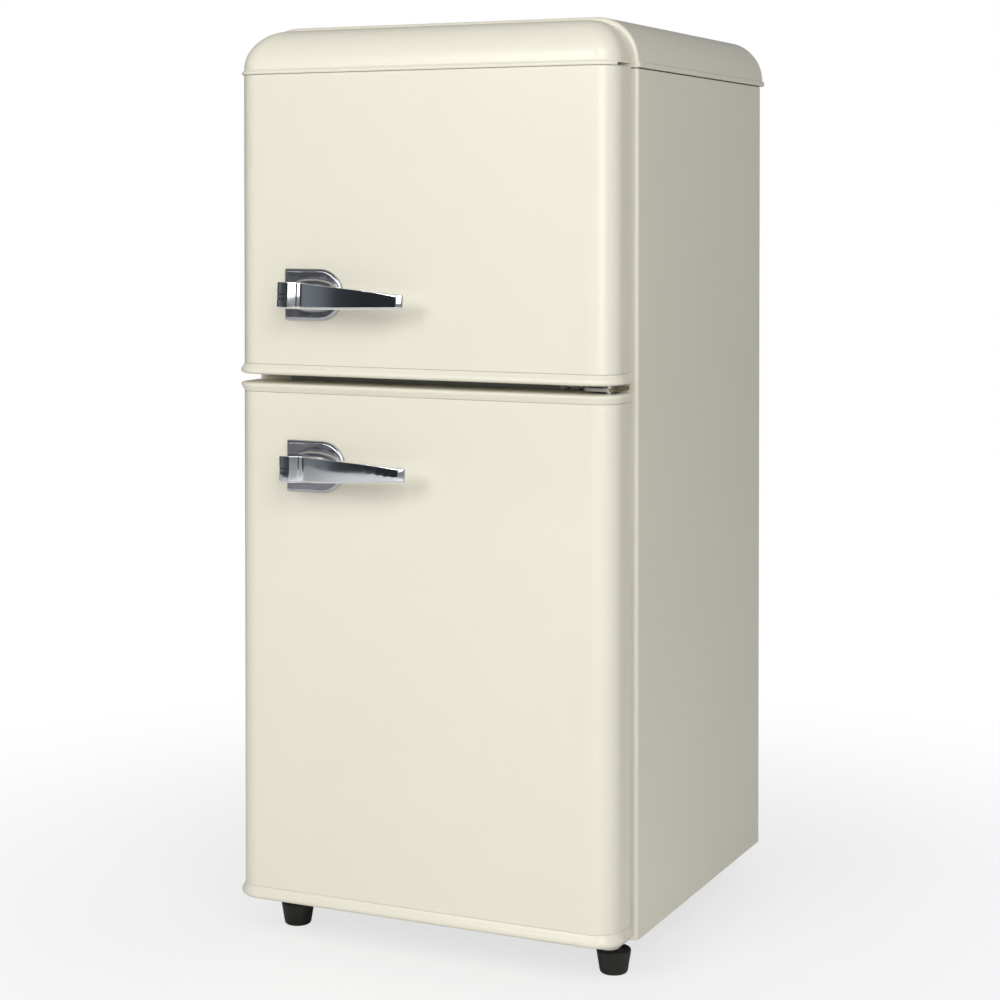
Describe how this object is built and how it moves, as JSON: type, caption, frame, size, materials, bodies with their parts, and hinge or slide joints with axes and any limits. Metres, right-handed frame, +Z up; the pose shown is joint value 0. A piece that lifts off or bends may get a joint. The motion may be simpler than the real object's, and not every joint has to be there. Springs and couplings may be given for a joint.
{
  "type": "mini fridge",
  "caption": "Compact retro refrigerator with a freezer door above a fresh-food door, rounded shoulders, cast lever pulls, shelves, crisper drawer and rear compressor.",
  "frame": {"origin": "middle of the footprint on the floor, doors closed", "axes": "+X to the right seen from the front, +Y towards the back, +Z up; the doors face -Y"},
  "size_m": [0.4034, 0.462, 0.8863],
  "materials": {
    "cream_enamel": "gloss",
    "cream_plastic": "gloss",
    "liner_plastic": "satin",
    "coated_wire": "gloss",
    "foam": "matte",
    "chrome": "polished",
    "zinc_steel": "satin",
    "gasket_rubber": "matte",
    "black_plastic": "satin",
    "black_steel": "satin",
    "rail_plastic": "satin",
    "shelf_glass": "polished",
    "clear_plastic": "gloss",
    "aluminium": "satin",
    "copper": "satin"
  },
  "bodies": {
    "cabinet": {"back_panel": "zinc_steel", "base_pan": "zinc_steel", "bottom_hinge": "zinc_steel", "center_rail": "rail_plastic", "compressor": "black_steel", "compressor_bay_panel": "zinc_steel", "compressor_mount": "zinc_steel", "condenser_coil": "black_steel", "condenser_wires": "black_steel", "cord_gland": "black_plastic", "crisper_cover": "shelf_glass", "crisper_drawer": "clear_plastic", "discharge_line": "copper", "drip_tray": "clear_plastic", "evaporator_plate": "aluminium", "freezer_liner": "liner_plastic", "freezer_wire_shelf": "coated_wire", "fridge_liner": "liner_plastic", "glass_shelf_lower": "shelf_glass", "glass_shelf_upper": "shelf_glass", "insulation_foam": "foam", "lamp_lens": "clear_plastic", "middle_hinge": "zinc_steel", "rear_foot_left": "black_plastic", "rear_foot_right": "black_plastic", "relay_cover": "black_plastic", "shelf_trim_lower": "liner_plastic", "shelf_trim_upper": "liner_plastic", "side_panel_left": "cream_enamel", "side_panel_right": "cream_enamel", "thermostat_housing": "liner_plastic", "top_cover": "cream_enamel", "top_hinge": "zinc_steel"},
    "freezer_door": {"freezer_door_bottom_cap": "cream_plastic", "freezer_door_bush_lower": "black_plastic", "freezer_door_bush_upper": "black_plastic", "freezer_door_foam": "foam", "freezer_door_gasket": "gasket_rubber", "freezer_door_liner": "liner_plastic", "freezer_door_panel": "cream_enamel", "freezer_door_rack": "liner_plastic", "freezer_door_top_cap": "cream_plastic", "freezer_handle_base": "chrome", "freezer_handle_lever": "chrome"},
    "fridge_door": {"fridge_door_bottom_cap": "cream_plastic", "fridge_door_bush_lower": "black_plastic", "fridge_door_bush_upper": "black_plastic", "fridge_door_foam": "foam", "fridge_door_gasket": "gasket_rubber", "fridge_door_liner": "liner_plastic", "fridge_door_panel": "cream_enamel", "fridge_door_rack_lower": "liner_plastic", "fridge_door_rack_upper": "liner_plastic", "fridge_door_top_cap": "cream_plastic", "fridge_handle_base": "chrome", "fridge_handle_lever": "chrome"},
    "front_foot_left": {"front_foot_left": "black_plastic"},
    "front_foot_right": {"front_foot_right": "black_plastic"},
    "thermostat_knob": {"thermostat_knob": "liner_plastic"}
  },
  "joints": [
    {"name": "freezer_door_hinge", "type": "hinge", "parent": "cabinet", "child": "freezer_door", "pos_m": [0.182, -0.169, 0.7], "axis": [0, 0, 1], "range_deg": [0, 110]},
    {"name": "fridge_door_hinge", "type": "hinge", "parent": "cabinet", "child": "fridge_door", "pos_m": [0.182, -0.169, 0.3], "axis": [0, 0, 1], "range_deg": [0, 110]},
    {"name": "front_foot_left_screw", "type": "slide", "parent": "cabinet", "child": "front_foot_left", "axis": [0, 0, -1], "range_m": [0, 0.01]},
    {"name": "front_foot_right_screw", "type": "slide", "parent": "cabinet", "child": "front_foot_right", "axis": [0, 0, -1], "range_m": [0, 0.01]},
    {"name": "thermostat_turn", "type": "hinge", "parent": "cabinet", "child": "thermostat_knob", "pos_m": [0.12, 0.005, 0.474], "axis": [-1, 0, 0], "range_deg": [0, 280]}
  ]
}
